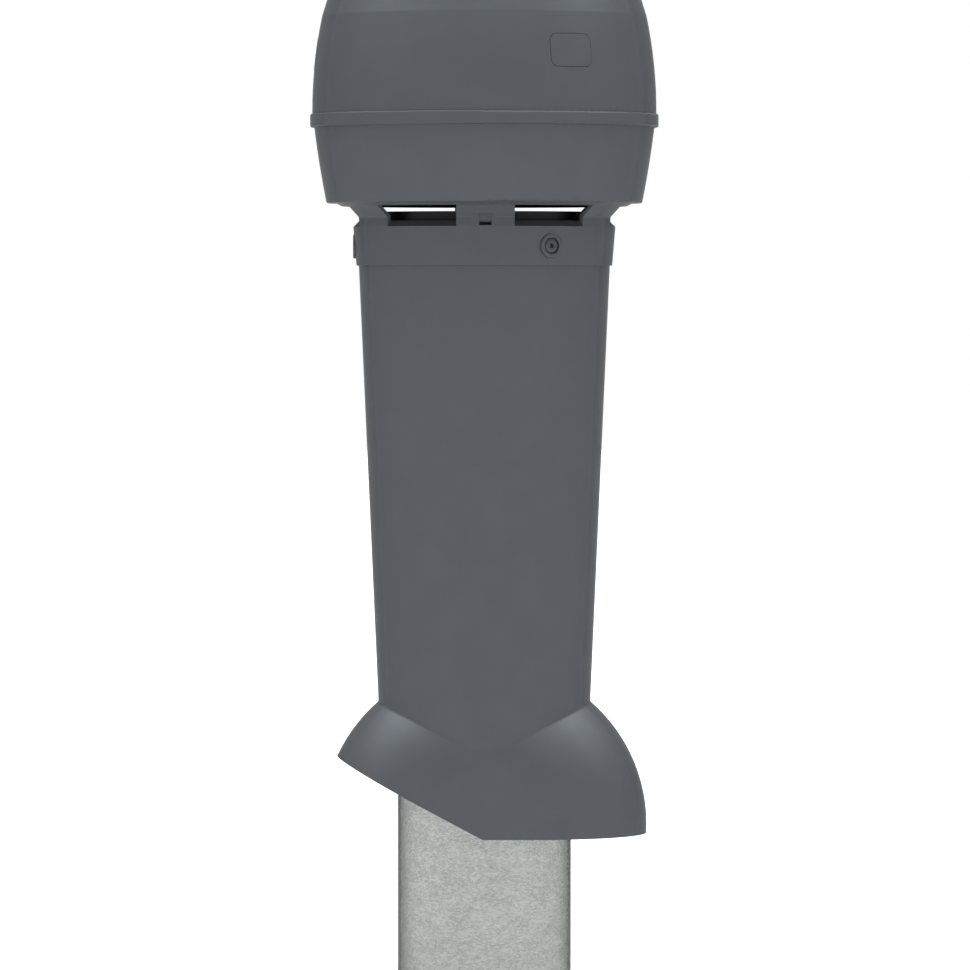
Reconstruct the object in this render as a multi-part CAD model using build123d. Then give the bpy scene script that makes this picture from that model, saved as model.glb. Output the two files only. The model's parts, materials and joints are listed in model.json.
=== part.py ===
from build123d import *
import os
from math import atan2, cos, hypot, radians, sin, tan

# Insulated roof vent pipe: a galvanised duct in a tapered plastic casing with a roof skirt,
# under a windowed hood with a domed cap. Millimetres, +Z up, and the front looks along -Y.
# The origin is on the duct's axis, in the plane of its lower end.

# Duct
duct_radius = 80.0
duct_wall = 0.9
duct_below_skirt = 280.0
duct_into_sleeve = 24.0

# Casing
pipe_length = 553.6
casing_room = 37.05
pipe_taper = 2.55
pipe_wall = 3.0
crease_fillet = 3.0

# Skirt, half of a thick disc that stands on edge across the pipe and is rounded along its rim
skirt_centre_rise = 7.9
skirt_side_proud = 5.2
skirt_reach = 57.2
skirt_slant = 28.0
skirt_ridge_x = -2.4

# Insulation
foam_gap = 0.3
foam_above_edge = 131.0
foam_top_gap = 0.5

# Hood base
fit_gap = 0.3
gasket_height = 2.5
collar_overlap = 30.2
collar_wall = 1.95
collar_lean = 4.65
lip_edge = 0.8
ledge_height = 8.2
floor_height = 3.0
crease_above_floor = 3.3
neck_fillet = 2.0
hood_wall = 3.0
flare_out = 10.5
flare_lip_out = 5.2
flare_lip_height = 2.8
shelf_width = 7.3
bowl_corner = 2.0
bowl_height = 76.2
bowl_spread = 11.7
bowl_bulge = 0.75

# Windows and the struts between them
window_count = 6
window_height = 13.8
sill_inset = 5.2
strut_width = 53.0

# Release tabs in every other strut, each with a notch above it and a slot below it
tab_count = 3
tab_width = 11.2
tab_inset = 0.4
slot_height = 2.7
slot_depth = 12.0
slot_below_floor = 1.7
slot_bevel = 1.6
notch_bottom_width = 16.3
notch_height = 3.1

# Air sleeve, with the upstand that keeps rain out of the duct, and its seal
sleeve_gap = 2.5
sleeve_wall = 2.5
sleeve_length = 28.0
sleeve_flange = 19.0
sleeve_flange_height = 2.5
upstand_height = 8.5
upstand_wall = 2.6
seal_lip_count = 3
seal_lip_height = 2.0
seal_lip_depth = 1.2
seal_lip_pitch = 5.0
seal_drop = 6.0
seal_gap = 0.05

# Cap
band_overlap = 6.3
band_height = 12.3
band_wall = 2.7
band_step = 1.95
band_edge = 1.5
cap_straight = 2.0
cap_wall_height = 88.4
cap_wall_inset = 9.2
shoulder_lean = 17.3
shoulder_rise = 16.0
shoulder_radius = 55.0
crown_rise = 74.5

# Blank inserts in the cap's wall
insert_width = 42.0
insert_height = 29.6
insert_corner = 6.6
insert_proud = 0.2
insert_depth = 2.4
insert_gap = 0.4
insert_seat_gap = 0.1
insert_drop = 35.5
backing_depth = 2.0
backing_margin = 4.0

# Collar screws
screw_count = 3
screw_above_lip = 17.8
boss_diameter = 22.2
boss_proud = 1.6
boss_edge = 0.8
head_diameter = 14.0
head_height = 2.4
head_gap = 0.7
shank_diameter = 4.2
shank_length = 14.0
shank_gap = 0.05
socket_width = 4.4
socket_depth = 1.8
pilot_boss_diameter = 11.0
tip_out = 1.0

# Bearings round the axis, in degrees from +X
front = -90.0
front_right = -60.0
left = 180.0

# Heights
edge_z = duct_below_skirt
disc_z = edge_z + skirt_centre_rise
pipe_top_z = edge_z + pipe_length
ledge_z = pipe_top_z + gasket_height
floor_z = ledge_z + ledge_height
lip_z = pipe_top_z - collar_overlap
crease_z = floor_z + crease_above_floor
sill_z = floor_z - sill_inset
window_top_z = floor_z + window_height
bowl_z = crease_z + flare_out + flare_lip_height
bowl_top_z = bowl_z + bowl_height
band_z = bowl_top_z - band_overlap
band_top_z = band_z + band_height
cap_crease_z = band_top_z + cap_straight + cap_wall_height
shoulder_z = cap_crease_z + shoulder_rise
apex_z = cap_crease_z + crown_rise
insert_z = cap_crease_z - insert_drop
screw_z = lip_z + screw_above_lip
sleeve_z = floor_z - sleeve_length
duct_top_z = sleeve_z + duct_into_sleeve
slot_top_z = floor_z - slot_below_floor


def pipe_radius(z):
    return duct_radius + casing_room - (pipe_top_z - z) * tan(radians(pipe_taper))


def collar_radius(z):
    return pipe_radius(lip_z) + fit_gap + collar_wall + (z - lip_z) * tan(radians(collar_lean))


# Radii
neck_radius = collar_radius(sill_z)
knee_radius = neck_radius + flare_out
flare_radius = knee_radius + flare_lip_out
shelf_radius = flare_radius + shelf_width
bowl_radius = shelf_radius + bowl_corner
bowl_top_radius = bowl_radius + bowl_spread
band_radius = bowl_top_radius + fit_gap + band_wall
cap_radius = band_radius - band_step
sleeve_inner = duct_radius + sleeve_gap
sleeve_outer = sleeve_inner + sleeve_wall
upstand_outer = sleeve_outer + sleeve_flange
tab_face = neck_radius - tab_inset
boss_face = collar_radius(screw_z) + boss_proud
head_seat = boss_face - head_height
screw_tip = head_seat - shank_length
far = 2.0 * band_radius
near = 0.001


def run(*corners):
    """Straight edges through (radius, z) corners."""
    return list(Polyline(*[(radius, 0, z) for radius, z in corners]).edges())


def arc(*points):
    """The arc through three (radius, z) points."""
    return [ThreePointArc(*[(radius, 0, z) for radius, z in points])]


def spin(edges, angle=360.0):
    """The solid that a closed outline sweeps round the Z axis."""
    return revolve(make_face(edges), Axis.Z, angle)


def ring(inner, outer, low, high):
    return spin(run((inner, low), (outer, low), (outer, high), (inner, high), (inner, low)))


def rims(shape, *places):
    """The round edges of a turned shape that lie at the given (radius, z) places."""
    return [
        edge
        for edge in shape.edges().filter_by(GeomType.CIRCLE)
        for radius, z in places
        if hypot(edge.radius - radius, edge.arc_center.Z - z) < near
    ]


def radial(bearing, z):
    """A plane on the axis whose normal points out along the bearing, with its Y axis up."""
    out = Vector(cos(radians(bearing)), sin(radians(bearing)), 0)
    return Plane(origin=(0, 0, z), x_dir=Vector(0, 0, 1).cross(out), z_dir=out)


def rod(bearing, z, diameter, start, end):
    """A round bar along a bearing, between two distances from the axis."""
    return extrude(radial(bearing, z).offset(start) * Circle(diameter / 2), end - start)


def bearings(first, count):
    return [first + step * 360.0 / count for step in range(count)]


# Duct


def make_inner_duct():
    return ring(duct_radius - duct_wall, duct_radius, 0, duct_top_z)


# Casing


def thick_disc(inset):
    """The skirt's disc, spun about a level axis that runs from front to back."""
    core = skirt_reach - skirt_side_proud
    width = pipe_radius(disc_z) + skirt_side_proud - inset
    rim = ThreePointArc((core, -width), (core + width, 0), (core, width))
    sides = Polyline((core, width), (0, width), (0, -width), (core, -width))
    return Pos(0, 0, disc_z) * revolve(make_face([rim, *sides.edges()]), Axis.Y)


def cone(inset, low):
    high = pipe_top_z
    foot = (pipe_radius(low) - inset, low)
    head = (pipe_radius(high) - inset, high)
    return spin(run((0, low), foot, head, (0, high), (0, low)))


def skirt_trim():
    """All that lies below the skirt's edge, level on the right and sloped like the roof on the left."""
    rise = (far + skirt_ridge_x) * tan(radians(skirt_slant))
    below = Polyline(
        (skirt_ridge_x, edge_z),
        (far, edge_z),
        (far, -far),
        (-far, -far),
        (-far, edge_z + rise),
        (skirt_ridge_x, edge_z),
    )
    return extrude(Plane.XZ * make_face(below), far, both=True)


def make_outer_pipe():
    outside = cone(0, 0) + thick_disc(0)
    creases = outside.edges().filter_by(GeomType.BSPLINE).filter_by_position(Axis.Z, disc_z, pipe_top_z)
    outside = fillet(creases, crease_fillet)
    inside = cone(pipe_wall, 0) + thick_disc(pipe_wall)
    pipe = outside - inside - skirt_trim()
    for bearing in bearings(front_right, screw_count):
        wall_middle = pipe_radius(screw_z) - pipe_wall / 2
        pipe += rod(bearing, screw_z, pilot_boss_diameter, screw_tip + tip_out, wall_middle)
        pipe -= rod(bearing, screw_z, shank_diameter + 2 * shank_gap, screw_tip, head_seat)
    return pipe


# Insulation


def make_insulation(turn):
    """One half shell, stepped at its top to clear the screw bosses and the air sleeve."""
    low = edge_z + foam_above_edge
    high = ledge_z - foam_top_gap
    shoulder = screw_z - pilot_boss_diameter / 2 - foam_gap
    step = sleeve_z - foam_gap
    bore = duct_radius + foam_gap
    wide_bore = sleeve_outer + foam_gap
    neck = screw_tip - foam_gap
    outline = run(
        (bore, low),
        (pipe_radius(low) - pipe_wall - foam_gap, low),
        (pipe_radius(shoulder) - pipe_wall - foam_gap, shoulder),
        (neck, shoulder),
        (neck, high),
        (wide_bore, high),
        (wide_bore, step),
        (bore, step),
        (bore, low),
    )
    return Rot(0, 0, turn) * spin(outline, 180)


# Hood base


def make_gasket():
    outer = pipe_radius(pipe_top_z)
    return ring(outer - pipe_wall, outer, pipe_top_z, ledge_z)


def left_of(start, end):
    """The unit vector square to a line between two (radius, z) points, on its left."""
    along = Vector(end[0] - start[0], end[1] - start[1]).normalized()
    return Vector(-along.Y, along.X)


def inner_corner(before, corner, after, wall):
    """Where a wall that bends at the corner has its other face's corner, on the left of the line."""
    first = left_of(before, corner)
    second = left_of(corner, after)
    shift = (first + second) * (wall / (1 + first.dot(second)))
    return corner[0] + shift.X, corner[1] + shift.Y


def hood_base_shell():
    """The collar, ledge, floor, neck, flare and bowl, all turned about one axis."""
    lip_inner = pipe_radius(lip_z) + fit_gap
    floor_low = floor_z - floor_height
    floor_foot = pipe_radius(pipe_top_z) - pipe_wall - fit_gap
    floor_hole = sleeve_outer + fit_gap
    middle = ((bowl_radius + bowl_top_radius) / 2 + bowl_bulge, (bowl_z + bowl_corner + bowl_top_z) / 2)
    corner_middle = (
        shelf_radius + bowl_corner * sin(radians(45)),
        bowl_z + bowl_corner * (1 - cos(radians(45))),
    )
    lip = (collar_radius(lip_z), lip_z)
    sill = (neck_radius, sill_z)
    crease = (neck_radius, crease_z)
    knee = (knee_radius, crease_z + flare_out)
    shelf = (flare_radius, bowl_z)
    shelf_end = (shelf_radius, bowl_z)
    outside = run((lip_inner, lip_z), lip, sill, crease, knee, shelf, shelf_end)
    corner = arc((shelf_radius, bowl_z), corner_middle, (bowl_radius, bowl_z + bowl_corner))
    wall = arc((bowl_radius, bowl_z + bowl_corner), middle, (bowl_top_radius, bowl_top_z))
    rim = run((bowl_top_radius, bowl_top_z), (bowl_top_radius - hood_wall, bowl_top_z))
    inner_wall = arc(
        (bowl_top_radius - hood_wall, bowl_top_z),
        (middle[0] - hood_wall, middle[1]),
        (bowl_radius - hood_wall, bowl_z + hood_wall),
    )
    inside = run(
        (bowl_radius - hood_wall, bowl_z + hood_wall),
        inner_corner(knee, shelf, shelf_end, hood_wall),
        inner_corner(crease, knee, shelf, hood_wall),
        inner_corner(sill, crease, knee, hood_wall),
        (neck_radius - hood_wall, floor_z),
        (floor_hole, floor_z),
        (floor_hole, floor_low),
        (floor_foot, floor_low),
        (floor_foot, ledge_z),
        (pipe_radius(ledge_z) + fit_gap, ledge_z),
        (lip_inner, lip_z),
    )
    shell = spin(outside + corner + wall + rim + inner_wall + inside)
    shell = fillet(rims(shell, lip), lip_edge)
    return fillet(rims(shell, crease), neck_fillet)


def window_band():
    """The ring that the windows are cut from, with its sill falling outwards at the foot."""
    sill = neck_radius - sill_inset
    return spin(
        run(
            (upstand_outer, floor_z),
            (sill, floor_z),
            (shelf_radius, floor_z - (shelf_radius - sill)),
            (shelf_radius, window_top_z),
            (upstand_outer, window_top_z),
            (upstand_outer, floor_z),
        )
    )


def strut_block(bearing):
    """A block that keeps the window band's cut away from one strut."""
    block = Box(shelf_radius, strut_width, bowl_top_z, align=(Align.MIN, Align.CENTER, Align.MIN))
    return Rot(0, 0, bearing) * block


def tab_cut(bearing):
    """The flat face of a release tab, widening to a notch in the flare above it."""
    half_tab = tab_width / 2
    half_notch = notch_bottom_width / 2
    slot_top = slot_top_z - crease_z
    face = Polyline(
        (-half_tab, slot_top),
        (half_tab, slot_top),
        (half_tab, 0),
        (half_notch, 0),
        (half_tab, notch_height),
        (-half_tab, notch_height),
        (-half_notch, 0),
        (-half_tab, 0),
        (-half_tab, slot_top),
    )
    return extrude(radial(bearing, crease_z).offset(tab_face) * make_face(face), flare_out)


def release_slot(bearing):
    """The slot under a release tab, whose upper lip is bevelled."""
    side = Polyline(
        (tab_face - slot_depth, slot_top_z - slot_height),
        (tab_face + slot_bevel, slot_top_z - slot_height),
        (tab_face + slot_bevel, slot_top_z + 2 * slot_bevel),
        (tab_face - slot_bevel, slot_top_z),
        (tab_face - slot_depth, slot_top_z),
        (tab_face - slot_depth, slot_top_z - slot_height),
    )
    return Rot(0, 0, bearing) * extrude(Plane.XZ * make_face(side), tab_width / 2, both=True)


def screw_boss(bearing):
    boss = rod(bearing, screw_z, boss_diameter, collar_radius(screw_z) - collar_wall / 2, boss_face)
    outer_edge = boss.edges().filter_by(GeomType.CIRCLE).sort_by_distance((0, 0, screw_z))[-1]
    return fillet(outer_edge, boss_edge)


def make_hood_base():
    windows = window_band()
    for bearing in bearings(front, window_count):
        windows -= strut_block(bearing)
    base = hood_base_shell() - windows
    for bearing in bearings(front, tab_count):
        base -= tab_cut(bearing)
        base -= release_slot(bearing)
    for bearing in bearings(front_right, screw_count):
        base += screw_boss(bearing)
        base -= rod(bearing, screw_z, head_diameter + 2 * head_gap, head_seat, far)
        base -= rod(bearing, screw_z, shank_diameter + 2 * head_gap, screw_tip, far)
    return base


# Air sleeve and seal


def make_air_sleeve():
    flange_top = floor_z + sleeve_flange_height
    upstand_inner = upstand_outer - upstand_wall
    return spin(
        run(
            (sleeve_inner, sleeve_z),
            (sleeve_outer, sleeve_z),
            (sleeve_outer, floor_z),
            (upstand_outer, floor_z),
            (upstand_outer, floor_z + upstand_height),
            (upstand_inner, floor_z + upstand_height),
            (upstand_inner, flange_top),
            (sleeve_inner, flange_top),
            (sleeve_inner, sleeve_z),
        )
    )


def make_duct_seal():
    low = sleeve_z + seal_drop
    outer = sleeve_inner - seal_gap
    inner = duct_radius + seal_gap
    body = inner + seal_lip_depth
    seal = ring(body, outer, low, low + (seal_lip_count - 1) * seal_lip_pitch + seal_lip_height)
    for step in range(seal_lip_count):
        lip_low = low + step * seal_lip_pitch
        seal += ring(inner, outer, lip_low, lip_low + seal_lip_height)
    return seal


# Cap


def wall_arc(inset):
    """Three points on the cap wall's arc, which starts upright and leans in towards its top."""
    radius = (cap_wall_height**2 + cap_wall_inset**2) / (2 * cap_wall_inset)
    turn = atan2(cap_wall_height, radius - cap_wall_inset)
    low = band_top_z + cap_straight
    reach = radius - inset
    angles = (0, turn / 2, turn)
    return [(cap_radius - radius + reach * cos(angle), low + reach * sin(angle)) for angle in angles]


def crown_arcs(inset):
    """The shoulder's arc above the cap's leaning band, and the crown's arc from there to the axis."""
    lean = radians(shoulder_lean)
    start = cap_radius - cap_wall_inset - shoulder_rise * tan(lean)
    centre = start - shoulder_radius * cos(lean)
    centre_z = shoulder_z - shoulder_radius * sin(lean)
    drop = apex_z - centre_z
    crown = (centre**2 + drop**2 - shoulder_radius**2) / (2 * (drop - shoulder_radius))
    crown_z = apex_z - crown
    meet = atan2(centre_z - crown_z, centre)
    bend = shoulder_radius - inset
    reach = crown - inset
    shoulder_angles = (lean, (lean + meet) / 2, meet)
    crown_angles = (meet, (meet + radians(90)) / 2, radians(90))
    shoulder = [(centre + bend * cos(angle), centre_z + bend * sin(angle)) for angle in shoulder_angles]
    top = [(reach * cos(angle), crown_z + reach * sin(angle)) for angle in crown_angles]
    return shoulder, top


def cap_shell():
    seat = bowl_top_z + fit_gap
    band_inner = bowl_top_radius + fit_gap
    wall = wall_arc(0)
    shoulder, top = crown_arcs(0)
    inner_wall = wall_arc(hood_wall)
    inner_shoulder, inner_top = crown_arcs(hood_wall)
    foot = run(
        inner_wall[0],
        (cap_radius - hood_wall, seat),
        (band_inner, seat),
        (band_inner, band_z),
        (band_radius, band_z),
        (band_radius, band_top_z),
        (cap_radius, band_top_z),
        wall[0],
    )
    outside = arc(*wall) + run(wall[2], shoulder[0]) + arc(*shoulder) + arc(*top)
    inside = arc(*inner_top) + arc(*inner_shoulder) + run(inner_shoulder[0], inner_wall[2]) + arc(*inner_wall)
    shell = spin(foot + outside + run(top[2], inner_top[2]) + inside)
    return fillet(rims(shell, (band_radius, band_z), (band_radius, band_top_z)), band_edge)


def wall_layer(outer_inset, inner_inset):
    """A layer of the cap's wall between two depths below its outer face."""
    outer = wall_arc(outer_inset)
    inner = wall_arc(inner_inset)
    return spin(arc(*outer) + run(outer[2], inner[2]) + arc(*inner) + run(inner[0], outer[0]))


def insert_prism(bearing, margin):
    """The inserts' rounded rectangle, grown by a margin and drawn out from the axis."""
    width = insert_width + 2 * margin
    height = insert_height + 2 * margin
    return extrude(radial(bearing, insert_z) * RectangleRounded(width, height, insert_corner + margin), far)


def make_hood_cap():
    cap = cap_shell()
    seat = insert_depth + insert_seat_gap
    for bearing in (front_right, left):
        cap += wall_layer(hood_wall / 2, hood_wall + backing_depth) & insert_prism(bearing, backing_margin)
        cap -= wall_layer(-hood_wall, seat) & insert_prism(bearing, insert_gap)
    return cap


def make_cap_insert(bearing):
    return wall_layer(-insert_proud, insert_depth) & insert_prism(bearing, 0)


# Screws


def make_screw(bearing):
    head = rod(bearing, screw_z, head_diameter, head_seat, boss_face)
    shank = rod(bearing, screw_z, shank_diameter, screw_tip, head_seat + head_height / 2)
    socket_plane = radial(bearing, screw_z).offset(boss_face - socket_depth)
    socket = extrude(socket_plane * RegularPolygon(socket_width / 2, 6), head_height)
    return head + shank - socket


def make_collar_screws():
    return Compound(children=[make_screw(bearing) for bearing in bearings(front_right, screw_count)])


parts = {
    "inner_duct": make_inner_duct(),
    "outer_pipe": make_outer_pipe(),
    "insulation_rear": make_insulation(0),
    "insulation_front": make_insulation(180),
    "pipe_gasket": make_gasket(),
    "hood_base": make_hood_base(),
    "air_sleeve": make_air_sleeve(),
    "duct_seal": make_duct_seal(),
    "hood_cap": make_hood_cap(),
    "cap_insert_front": make_cap_insert(front_right),
    "cap_insert_left": make_cap_insert(left),
    "collar_screws": make_collar_screws(),
}

os.makedirs("parts", exist_ok=True)
for name, shape in parts.items():
    export_step(shape, f"parts/{name}.step")
    print(name, round(shape.volume), "mm3")
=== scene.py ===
import bpy
import json
import math
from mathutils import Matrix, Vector


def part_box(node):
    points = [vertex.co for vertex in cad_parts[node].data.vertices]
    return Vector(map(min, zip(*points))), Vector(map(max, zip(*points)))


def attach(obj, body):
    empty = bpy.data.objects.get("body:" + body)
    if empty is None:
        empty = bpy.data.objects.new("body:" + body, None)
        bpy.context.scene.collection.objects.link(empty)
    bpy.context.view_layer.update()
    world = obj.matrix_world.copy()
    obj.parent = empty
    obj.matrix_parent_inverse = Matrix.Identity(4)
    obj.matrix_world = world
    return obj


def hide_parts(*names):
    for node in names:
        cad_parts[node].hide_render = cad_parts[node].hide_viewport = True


# Lengths are in metres throughout, apart from the camera's lens and sensor

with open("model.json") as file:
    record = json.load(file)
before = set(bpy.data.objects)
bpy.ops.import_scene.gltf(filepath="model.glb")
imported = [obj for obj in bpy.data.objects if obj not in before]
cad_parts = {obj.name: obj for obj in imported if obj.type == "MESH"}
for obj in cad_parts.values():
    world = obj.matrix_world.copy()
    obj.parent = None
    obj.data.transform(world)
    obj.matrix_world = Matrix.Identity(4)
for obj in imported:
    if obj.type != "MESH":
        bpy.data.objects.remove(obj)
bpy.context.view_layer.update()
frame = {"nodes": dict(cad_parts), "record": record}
cadNodes = frame["nodes"]
print("stage: frame loaded,", len(cadNodes), "nodes")


# Helpers for node trees and objects

def feed(tree, socket, value):  # a link from a socket, or a plain value
    if isinstance(value, bpy.types.NodeSocket):
        tree.links.new(value, socket)
    else:
        socket.default_value = value


def feedAll(tree, node, inputs):  # inputs by name or by number
    for label, value in dict(inputs).items():
        feed(tree, node.inputs[label], value)


def newNode(tree, kind, inputs=(), **settings):
    node = tree.nodes.new(kind)
    for label, value in settings.items():
        setattr(node, label, value)
    feedAll(tree, node, inputs)
    return node


def addNode(tree, kind, inputs=(), **settings):  # the new node's first output
    return newNode(tree, kind, inputs, **settings).outputs[0]


def calc(tree, operation, *values):
    return addNode(tree, "ShaderNodeMath", enumerate(values), operation=operation)


def minus(tree, value):
    return calc(tree, "MULTIPLY", value, -1.0)


def vector(tree, x, y, z):
    return addNode(tree, "ShaderNodeCombineXYZ", {"X": x, "Y": y, "Z": z})


def remap(tree, value, given, wanted):  # from one (low, high) span to another
    labels = ("Value", "From Min", "From Max", "To Min", "To Max")
    inputs = zip(labels, (value, *given, *wanted))
    return newNode(tree, "ShaderNodeMapRange", inputs).outputs["Result"]


def addObject(name, data):
    thing = bpy.data.objects.new(name, data)
    bpy.context.scene.collection.objects.link(thing)
    return thing


# Helpers for finishes

def newMaterial(name):
    material = bpy.data.materials.new(name)
    material.use_nodes = True
    tree = material.node_tree
    place = newNode(tree, "ShaderNodeTexCoord").outputs["Object"]
    return material, tree, tree.nodes["Principled BSDF"], place


def stretched(tree, source, scale):
    inputs = {"Vector": source, "Scale": scale}
    return newNode(tree, "ShaderNodeMapping", inputs).outputs["Vector"]


def noise(tree, source, scale, detail, rough):
    inputs = {"Vector": source, "Scale": scale, "Detail": detail, "Roughness": rough}
    return newNode(tree, "ShaderNodeTexNoise", inputs).outputs["Fac"]


def cells(tree, source, scale, output):
    inputs = {"Vector": source, "Scale": scale}
    return newNode(tree, "ShaderNodeTexVoronoi", inputs).outputs[output]


def blendColour(tree, factor, dark, light):
    inputs = {"Factor": factor, "A": (*dark, 1.0), "B": (*light, 1.0)}
    return newNode(tree, "ShaderNodeMix", inputs, data_type="RGBA").outputs["Result"]


def bump(tree, height, distance, strength):
    inputs = {"Height": height, "Distance": distance, "Strength": strength}
    return newNode(tree, "ShaderNodeBump", inputs).outputs["Normal"]


def linear(*srgb):  # 0 to 255 in, scene linear out
    return tuple(((c / 255 + 0.055) / 1.055) ** 2.4 for c in srgb)


# Grey plastic, for the casing, the hood, the cap and its inserts

greyPlastic = {
    "colour": linear(87, 91, 95),
    "shade": linear(85, 89, 93),
    "mottle": {"scale": 30.0, "detail": 4.0, "rough": 0.6},
    "mottleSpan": (0.35, 0.65),
    "grain": {"scale": 1100.0, "detail": 2.0, "rough": 0.6},
    "grainSpan": (0.3, 0.7),
    "grainDepth": 0.00004,
    "grainStrength": 1.0,
    "roughness": (0.45, 0.53),
    "metallic": 0.35,
    "specular": 0.05,
    "edgeTint": (0.0, 0.0, 0.0, 1.0),  # holds the gloss down toward an outline
}


def makeGreyPlastic():
    material, tree, shader, place = newMaterial("greyPlastic")
    mottle = noise(tree, place, **greyPlastic["mottle"])
    grain = noise(tree, place, **greyPlastic["grain"])
    patches = remap(tree, mottle, greyPlastic["mottleSpan"], (0.0, 1.0))
    feedAll(tree, shader, {
        "Base Color": blendColour(tree, patches, greyPlastic["shade"], greyPlastic["colour"]),
        "Roughness": remap(tree, grain, greyPlastic["grainSpan"], greyPlastic["roughness"]),
        "Normal": bump(tree, grain, greyPlastic["grainDepth"], greyPlastic["grainStrength"]),
        "Metallic": greyPlastic["metallic"],
        "Specular IOR Level": greyPlastic["specular"],
        "Specular Tint": greyPlastic["edgeTint"],
    })
    return material


# Zinc-coated sheet, for the duct

zincSheet = {
    "dark": linear(131, 134, 132),
    "light": linear(168, 172, 168),
    "stretch": (1.0, 1.0, 2.0),  # of the pattern's space, so a flake is half as tall as wide
    "fine": {"scale": 900.0, "detail": 3.0, "rough": 0.7},
    "broad": {"scale": 45.0, "detail": 4.0, "rough": 0.6},
    "broadShare": 0.35,
    "flakeScale": 420.0,
    "flakeShare": 0.3,
    "spangleSpan": (0.55, 1.1),
    "grainDepth": 0.00003,
    "grainStrength": 1.0,
    "roughness": (0.5, 0.36),  # where the spangle is dark, and where it is light
    "metallic": 0.92,
    "edgeTint": (0.0, 0.0, 0.0, 1.0),
    "weldSpan": (0.002, 0.0045),  # distances from the weld's middle
    "weldFade": 0.9,
}


def weldMark(tree, source):  # 1 along the weld on the back, fading to the sheet at both sides
    place = newNode(tree, "ShaderNodeSeparateXYZ", {0: source})
    across = calc(tree, "ABSOLUTE", place.outputs["X"])
    line = remap(tree, across, zincSheet["weldSpan"], (1.0, 0.0))
    return calc(tree, "MULTIPLY", line, calc(tree, "GREATER_THAN", place.outputs["Y"], 0.0))


def makeZincSheet():
    material, tree, shader, place = newMaterial("zincSheet")
    drawn = stretched(tree, place, zincSheet["stretch"])
    fine = noise(tree, drawn, **zincSheet["fine"])
    broad = noise(tree, drawn, **zincSheet["broad"])
    flakes = cells(tree, drawn, zincSheet["flakeScale"], "Color")
    flake = newNode(tree, "ShaderNodeSeparateColor", {"Color": flakes}).outputs["Red"]
    mixed = calc(tree, "MULTIPLY_ADD", flake, zincSheet["flakeShare"], fine)
    mixed = calc(tree, "MULTIPLY_ADD", broad, zincSheet["broadShare"], mixed)
    spangle = remap(tree, mixed, zincSheet["spangleSpan"], (0.0, 1.0))
    kept = calc(tree, "MULTIPLY_ADD", weldMark(tree, place), -zincSheet["weldFade"], 1.0)
    spangle = calc(tree, "MULTIPLY", spangle, kept)
    feedAll(tree, shader, {
        "Base Color": blendColour(tree, spangle, zincSheet["dark"], zincSheet["light"]),
        "Roughness": remap(tree, spangle, (0.0, 1.0), zincSheet["roughness"]),
        "Normal": bump(tree, fine, zincSheet["grainDepth"], zincSheet["grainStrength"]),
        "Metallic": zincSheet["metallic"],
        "Specular Tint": zincSheet["edgeTint"],
    })
    return material


# Bead foam, for the insulation, with painted shade in the grooves between beads

beadFoam = {
    "colour": linear(205, 205, 200),
    # painted shade: the colour in the grooves between beads, darker than the beads themselves
    "paintedGrooveShade": linear(165, 165, 160),
    "beadScale": 260.0,
    "beadSpan": (0.0, 0.7),
    "beadDepth": 0.0004,
    "beadStrength": 0.7,
    "roughness": 0.85,
}


def makeBeadFoam():
    material, tree, shader, place = newMaterial("beadFoam")
    gaps = cells(tree, place, beadFoam["beadScale"], "Distance")
    # 1 on each bead's crown, 0 in the grooves: the bump sinks there, and the colour darkens
    # there as painted shade
    beads = remap(tree, gaps, beadFoam["beadSpan"], (1.0, 0.0))
    feedAll(tree, shader, {
        "Base Color": blendColour(tree, beads, beadFoam["paintedGrooveShade"], beadFoam["colour"]),
        "Normal": bump(tree, beads, beadFoam["beadDepth"], beadFoam["beadStrength"]),
        "Roughness": beadFoam["roughness"],
    })
    return material


# Dark plastic, black rubber and coated steel, which differ in colour, gloss and grain size

darkGrain = {
    "detail": 3.0,
    "rough": 0.6,
    "shade": 0.8,
    "depth": 0.00005,
    "strength": 0.8,
    "specular": 0.25,
}
darkFinishes = {
    "dark_plastic": {
        "name": "darkPlastic",
        "colour": linear(20, 22, 26),
        "roughness": 0.5,
        "scale": 900.0,
    },
    "black_rubber": {
        "name": "blackRubber",
        "colour": linear(30, 30, 31),
        "roughness": 0.75,
        "scale": 400.0,
    },
    "coated_screws": {
        "name": "coatedSteel",
        "colour": linear(76, 80, 86),
        "roughness": 0.38,
        "scale": 1500.0,
    },
}


def makeDark(name, colour, roughness, scale):
    material, tree, shader, place = newMaterial(name)
    speck = noise(tree, place, scale, darkGrain["detail"], darkGrain["rough"])
    shade = tuple(darkGrain["shade"] * c for c in colour)
    feedAll(tree, shader, {
        "Base Color": blendColour(tree, speck, shade, colour),
        "Normal": bump(tree, speck, darkGrain["depth"], darkGrain["strength"]),
        "Roughness": roughness,
        "Specular IOR Level": darkGrain["specular"],
    })
    return material


finishes = {
    "grey_plastic": makeGreyPlastic(),
    "galvanised_steel": makeZincSheet(),
    "foam": makeBeadFoam(),
}
for slotName, values in darkFinishes.items():
    finishes[slotName] = makeDark(**values)
for row in frame["record"]["subparts"]:
    for slot in cadNodes[row["node"]].material_slots:
        slot.material = finishes[row["material_slot"]]
print("stage: finishes on the carried-over parts")


# Helpers for pieces made with Geometry Nodes

def newShapeTree(name, sizes):
    tree = bpy.data.node_groups.new(name, "GeometryNodeTree")
    for label, value in sizes.items():
        kind = "NodeSocketInt" if isinstance(value, int) else "NodeSocketFloat"
        tree.interface.new_socket(label, in_out="INPUT", socket_type=kind)
    tree.interface.new_socket("Geometry", in_out="OUTPUT", socket_type="NodeSocketGeometry")
    given = newNode(tree, "NodeGroupInput")
    return tree, {label: given.outputs[label] for label in sizes}


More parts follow.
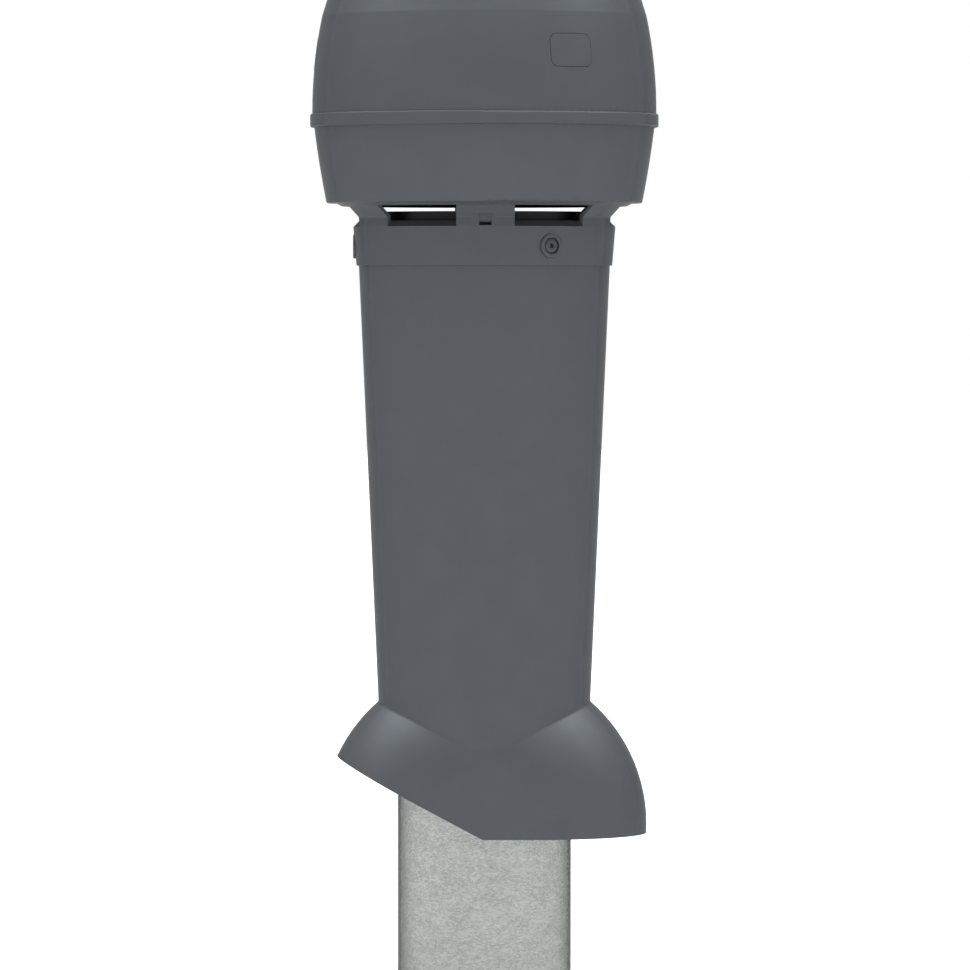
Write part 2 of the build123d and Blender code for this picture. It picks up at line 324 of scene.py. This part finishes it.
def outline(tree, corners, closed=False):  # a curve through (across, up) corners
    choose = newNode(tree, "GeometryNodeIndexSwitch", data_type="VECTOR")
    while len(choose.index_switch_items) < len(corners):
        choose.index_switch_items.new()
    feed(tree, choose.inputs["Index"], addNode(tree, "GeometryNodeInputIndex"))
    for step, (across, up) in enumerate(corners):
        feed(tree, choose.inputs[step + 1], vector(tree, across, up, 0.0))
    line = addNode(tree, "GeometryNodeMeshLine", {"Count": len(corners)})
    inputs = {"Geometry": line, "Position": choose.outputs[0]}
    placed = addNode(tree, "GeometryNodeSetPosition", inputs)
    curve = addNode(tree, "GeometryNodeMeshToCurve", {"Mesh": placed})
    if closed:
        inputs = {"Geometry": curve, "Cyclic": True}
        curve = addNode(tree, "GeometryNodeSetSplineCyclic", inputs)
    return curve


def rounded(tree, curve, radius, steps):
    inputs = {"Curve": curve, "Radius": radius, "Count": steps}
    return addNode(tree, "GeometryNodeFilletCurve", inputs, mode="POLY")


def circle(tree, sides, radius):
    inputs = {"Resolution": sides, "Radius": radius}
    return addNode(tree, "GeometryNodeCurvePrimitiveCircle", inputs)


def sweep(tree, path, profile, caps=False):
    inputs = {"Curve": path, "Profile Curve": profile, "Fill Caps": caps}
    return addNode(tree, "GeometryNodeCurveToMesh", inputs)


def creased(tree, mesh, angle):  # smooth faces, with edges past the angle left sharp
    inputs = {"Geometry": mesh, "Shade Smooth": True}
    smooth = addNode(tree, "GeometryNodeSetShadeSmooth", inputs)
    turn = addNode(tree, "GeometryNodeInputMeshEdgeAngle")
    steep = calc(tree, "GREATER_THAN", turn, angle)
    inputs = {"Geometry": smooth, "Selection": steep, "Shade Smooth": False}
    return addNode(tree, "GeometryNodeSetShadeSmooth", inputs, domain="EDGE")


def makePiece(name, tree, shape, sizes, slotName, node):
    whole = addNode(tree, "GeometryNodeRealizeInstances", {"Geometry": shape})
    inputs = {"Geometry": whole, "Material": finishes[slotName]}
    newNode(tree, "NodeGroupOutput", {0: addNode(tree, "GeometryNodeSetMaterial", inputs)})
    maker = addObject(name + "Maker", bpy.data.meshes.new(name + "Maker"))
    modifier = maker.modifiers.new("shape", "NODES")
    modifier.node_group = tree
    for socket in tree.interface.items_tree:
        if socket.name in sizes:
            modifier[socket.identifier] = sizes[socket.name]
    solved = maker.evaluated_get(bpy.context.evaluated_depsgraph_get())
    mesh = bpy.data.meshes.new_from_object(solved)
    maker.modifiers.remove(modifier)
    bpy.data.objects.remove(maker)
    piece = addObject(name, mesh)
    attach(piece, "root")
    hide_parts(node)
    print("stage:", name, len(mesh.polygons), "faces")


# Duct, rolled from sheet and welded along its back

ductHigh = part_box("inner_duct")[1]
ductSizes = {
    "Outer radius": ductHigh.x,
    "Length": ductHigh.z,
    "Wall": 0.0009,
    "Edge rounding": 0.0003,
    "Edge steps": 3,
    "Weld width": 0.0042,
    "Weld flat": 0.6,  # the bead's flat top, as a share of its width
    "Weld proud": 0.0003,
    "Weld sink": 0.0004,
    "Crease angle": math.radians(20.0),
    "Sides": 144,
}


def sheetTube(tree, size):
    half = calc(tree, "MULTIPLY", size["Wall"], 0.5)
    middle = calc(tree, "SUBTRACT", size["Outer radius"], half)
    inward = minus(tree, half)
    top = minus(tree, size["Length"])  # a swept profile's up axis points down
    wall = outline(tree, [(inward, top), (half, top), (half, 0.0), (inward, 0.0)], closed=True)
    profile = rounded(tree, wall, size["Edge rounding"], size["Edge steps"])
    return sweep(tree, circle(tree, size["Sides"], middle), profile)


def weldBead(tree, size):
    foot = calc(tree, "MULTIPLY", size["Weld width"], 0.5)
    flat = calc(tree, "MULTIPLY", foot, size["Weld flat"])
    low = calc(tree, "SUBTRACT", size["Outer radius"], size["Weld sink"])
    high = calc(tree, "ADD", size["Outer radius"], size["Weld proud"])
    corners = [(foot, low), (flat, high), (minus(tree, flat), high), (minus(tree, foot), low)]
    end = vector(tree, 0.0, 0.0, size["Length"])
    line = addNode(tree, "GeometryNodeCurvePrimitiveLine", {"End": end})
    return sweep(tree, line, outline(tree, corners, closed=True), caps=True)


def makeDuct():
    tree, size = newShapeTree("weldedDuct", ductSizes)
    joined = newNode(tree, "GeometryNodeJoinGeometry")
    for part in (weldBead(tree, size), sheetTube(tree, size)):
        tree.links.new(part, joined.inputs[0])
    shape = creased(tree, joined.outputs[0], size["Crease angle"])
    makePiece("duct", tree, shape, ductSizes, "galvanised_steel", "inner_duct")


makeDuct()


# Collar screws, low domed heads with a six-lobed socket

screwLow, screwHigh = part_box("collar_screws")
screwSizes = {
    "Head radius": 0.007,
    "Head height": 0.0024,
    "Socket radius": 0.0023,
    "Socket depth": 0.0032,
    "Socket taper": 0.7,  # the socket floor's radius, as a share of its rim's
    "Lobes": 6,
    "Lobe depth": 0.14,  # share of the socket's radius
    "Lobe reach": 1.2,  # in socket radii from the screw's axis
    "Lobe foot": 0.0001,  # height above the seat where the lobes begin
    "Shank radius": 0.0021,
    "Shank length": 0.014,
    "Edge rounding": 0.00025,
    "Edge steps": 2,
    "Merge distance": 0.000002,
    "Crease angle": math.radians(28.0),
    "Face radius": -screwLow.x,
    "Level": (screwLow.z + screwHigh.z) / 2,
    "First bearing": math.radians(-60.0),
    "Sides": 48,
    "Count": 3,
    "Seed": 5,
}
headProfile = [  # shares of the head's radius and height, from the socket's rim to the seat
    (0.62, 0.93),
    (0.83, 0.72),
    (0.95, 0.45),
    (1.0, 0.16),
    (0.98, 0.0),
]


def screwProfile(tree, size, middle):
    socketFloor = calc(tree, "SUBTRACT", size["Head height"], size["Socket depth"])
    tip = minus(tree, size["Shank length"])
    corners = [
        (0.0, socketFloor),
        (calc(tree, "MULTIPLY", size["Socket radius"], size["Socket taper"]), socketFloor),
        (size["Socket radius"], size["Head height"]),
    ]
    for across, up in headProfile:
        radius = calc(tree, "MULTIPLY", size["Head radius"], across)
        corners.append((radius, calc(tree, "MULTIPLY", size["Head height"], up)))
    corners += [(size["Shank radius"], 0.0), (size["Shank radius"], tip), (0.0, tip)]
    turned = []
    for radius, height in corners:  # measured from the path, with up pointing down
        turned.append((calc(tree, "SUBTRACT", radius, middle), minus(tree, height)))
    return rounded(tree, outline(tree, turned), size["Edge rounding"], size["Edge steps"])


def turnedScrew(tree, size):
    middle = calc(tree, "MULTIPLY", size["Head radius"], 0.5)
    path = circle(tree, size["Sides"], middle)
    turned = sweep(tree, path, screwProfile(tree, size, middle))
    inputs = {"Geometry": turned, "Distance": size["Merge distance"]}
    return addNode(tree, "GeometryNodeMergeByDistance", inputs)


def addLobes(tree, mesh, size):
    here = addNode(tree, "GeometryNodeInputPosition")
    place = newNode(tree, "ShaderNodeSeparateXYZ", {0: here})
    x, y, z = (place.outputs[label] for label in "XYZ")
    squares = calc(tree, "ADD", calc(tree, "MULTIPLY", x, x), calc(tree, "MULTIPLY", y, y))
    radius = calc(tree, "SQRT", squares)
    bearing = calc(tree, "ARCTAN2", y, x)
    wave = calc(tree, "COSINE", calc(tree, "MULTIPLY", bearing, size["Lobes"]))
    reach = calc(tree, "MULTIPLY", size["Socket radius"], size["Lobe reach"])
    near = calc(tree, "LESS_THAN", radius, reach)
    inHead = calc(tree, "MULTIPLY", near, calc(tree, "GREATER_THAN", z, size["Lobe foot"]))
    swell = calc(tree, "MULTIPLY", wave, inHead)
    grow = calc(tree, "MULTIPLY_ADD", swell, size["Lobe depth"], 1.0)
    moved = vector(tree, calc(tree, "MULTIPLY", x, grow), calc(tree, "MULTIPLY", y, grow), z)
    return addNode(tree, "GeometryNodeSetPosition", {"Geometry": mesh, "Position": moved})


def placeScrews(tree, screw, size):  # one at each seat, facing out and driven to any angle
    seat = calc(tree, "SUBTRACT", size["Face radius"], size["Head height"])
    ring = addNode(tree, "GeometryNodeMeshCircle", {"Vertices": size["Count"], "Radius": seat})
    seats = addNode(tree, "GeometryNodeTransform", {
        "Geometry": ring,
        "Translation": vector(tree, 0.0, 0.0, size["Level"]),
        "Rotation": vector(tree, 0.0, 0.0, size["First bearing"]),
    })
    inputs = {0: addNode(tree, "GeometryNodeInputPosition"), 1: (1.0, 1.0, 0.0)}
    out = addNode(tree, "ShaderNodeVectorMath", inputs, operation="MULTIPLY")
    aimed = addNode(tree, "FunctionNodeAlignRotationToVector", {"Vector": out}, axis="Z")
    inputs = {"Max": math.tau, "Seed": size["Seed"]}
    spin = newNode(tree, "FunctionNodeRandomValue", inputs).outputs["Value"]
    inputs = {"Axis": (0.0, 0.0, 1.0), "Angle": spin}
    driven = addNode(tree, "FunctionNodeAxisAngleToRotation", inputs)
    inputs = {"Rotation": aimed, "Rotate By": driven}
    faced = addNode(tree, "FunctionNodeRotateRotation", inputs, rotation_space="LOCAL")
    inputs = {"Points": seats, "Instance": screw, "Rotation": faced}
    return addNode(tree, "GeometryNodeInstanceOnPoints", inputs)


def makeScrews():
    tree, size = newShapeTree("collarScrews", screwSizes)
    screw = creased(tree, addLobes(tree, turnedScrew(tree, size), size), size["Crease angle"])
    shape = placeScrews(tree, screw, size)
    makePiece("screws", tree, shape, screwSizes, "coated_screws", "collar_screws")


makeScrews()


# Floor, light and camera

studio = {
    "white": (1.0, 1.0, 1.0, 1.0),
    "floorSize": 60.0,
    "floorColour": (0.9, 0.9, 0.9, 1.0),
    "floorRoughness": 0.9,
    "floorSpecular": 0.0,
    "floorGlow": 0.9,
    "glowReach": (0.4, 1.6),  # no glow near the object, where its shadow falls
    "horizon": 0.25,
    "zenith": 0.9,
    "lampTarget": 0.58,
}
lamps = {  # a lamp that doesn't fill lights the gloss alone
    "topLamp": {"place": (0.0, -0.6, 5.8), "size": (4.0, 4.0), "power": 310.0, "fills": True},
    "leftLamp": {"place": (-3.1, 1.1, 4.8), "size": (5.0, 2.6), "power": 290.0, "fills": False},
    "rightLamp": {"place": (3.1, 1.1, 4.8), "size": (5.0, 2.6), "power": 290.0, "fills": False},
}
photoView = {  # angles in degrees, lens and sensor in millimetres
    "distance": 6.92,
    "turn": 0.5,
    "eyeAboveEdge": 0.5001,
    "tilt": 1.4817,
    "sideStep": 0.0006,
    "lens": 278.35,
    "sensor": 36.0,
}
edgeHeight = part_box("outer_pipe")[0].z  # the skirt's lowest edge


def seenDirectly(tree):  # 1 for rays that show the background itself
    path = newNode(tree, "ShaderNodeLightPath")
    either = calc(tree, "MAXIMUM", path.outputs["Is Camera Ray"], path.outputs["Is Glossy Ray"])
    return calc(tree, "MAXIMUM", either, path.outputs["Is Transmission Ray"])


def makeWorld():
    world = bpy.data.worlds.new("paleStudio")
    bpy.context.scene.world = world
    world.use_nodes = True
    tree = world.node_tree
    up = newNode(tree, "ShaderNodeTexCoord").outputs["Generated"]
    height = newNode(tree, "ShaderNodeSeparateXYZ", {0: up}).outputs["Z"]
    light = remap(tree, height, (0.0, 1.0), (studio["horizon"], studio["zenith"]))
    seen = seenDirectly(tree)
    hidden = calc(tree, "SUBTRACT", 1.0, seen)
    feedAll(tree, tree.nodes["Background"], {
        "Color": studio["white"],
        "Strength": calc(tree, "MULTIPLY_ADD", light, hidden, seen),
    })


def makeFloor():
    half = studio["floorSize"] / 2
    mesh = bpy.data.meshes.new("floor")
    corners = [(-half, -half, 0.0), (half, -half, 0.0), (half, half, 0.0), (-half, half, 0.0)]
    mesh.from_pydata(corners, [], [(0, 1, 2, 3)])
    floor = addObject("floor", mesh)
    material, tree, shader, place = newMaterial("paleFloor")
    away = newNode(tree, "ShaderNodeVectorMath", {0: place}, operation="LENGTH").outputs["Value"]
    glow = remap(tree, away, studio["glowReach"], (0.0, studio["floorGlow"]))
    feedAll(tree, shader, {
        "Base Color": studio["floorColour"],
        "Roughness": studio["floorRoughness"],
        "Specular IOR Level": studio["floorSpecular"],
        "Emission Color": studio["white"],
        "Emission Strength": calc(tree, "MULTIPLY", seenDirectly(tree), glow),
    })
    mesh.materials.append(material)


def makeLamp(name, place, size, power, fills):
    light = bpy.data.lights.new(name, "AREA")
    light.shape = "RECTANGLE"
    light.size, light.size_y = size
    light.energy = power
    lamp = addObject(name, light)
    lamp.location = place
    toObject = Vector((0.0, 0.0, studio["lampTarget"])) - Vector(place)
    lamp.rotation_euler = toObject.to_track_quat("-Z", "Y").to_euler()
    lamp.visible_camera = False
    lamp.visible_diffuse = fills


def makeCamera():
    data = bpy.data.cameras.new("photoCamera")
    data.lens = photoView["lens"]
    data.sensor_width = photoView["sensor"]
    camera = addObject("photoCamera", data)
    turn = math.radians(photoView["turn"])
    out = Vector((-math.sin(turn), -math.cos(turn), 0.0))
    right = Vector((math.cos(turn), -math.sin(turn), 0.0))
    camera.location = out * photoView["distance"] + right * photoView["sideStep"]
    camera.location.z = edgeHeight + photoView["eyeAboveEdge"]
    camera.rotation_euler = (math.radians(90.0 - photoView["tilt"]), 0.0, -turn)
    bpy.context.scene.camera = camera


makeWorld()
makeFloor()
for name, lamp in lamps.items():
    makeLamp(name, **lamp)
makeCamera()
bpy.context.scene.view_settings.view_transform = "Standard"
print("stage: floor, light and camera")
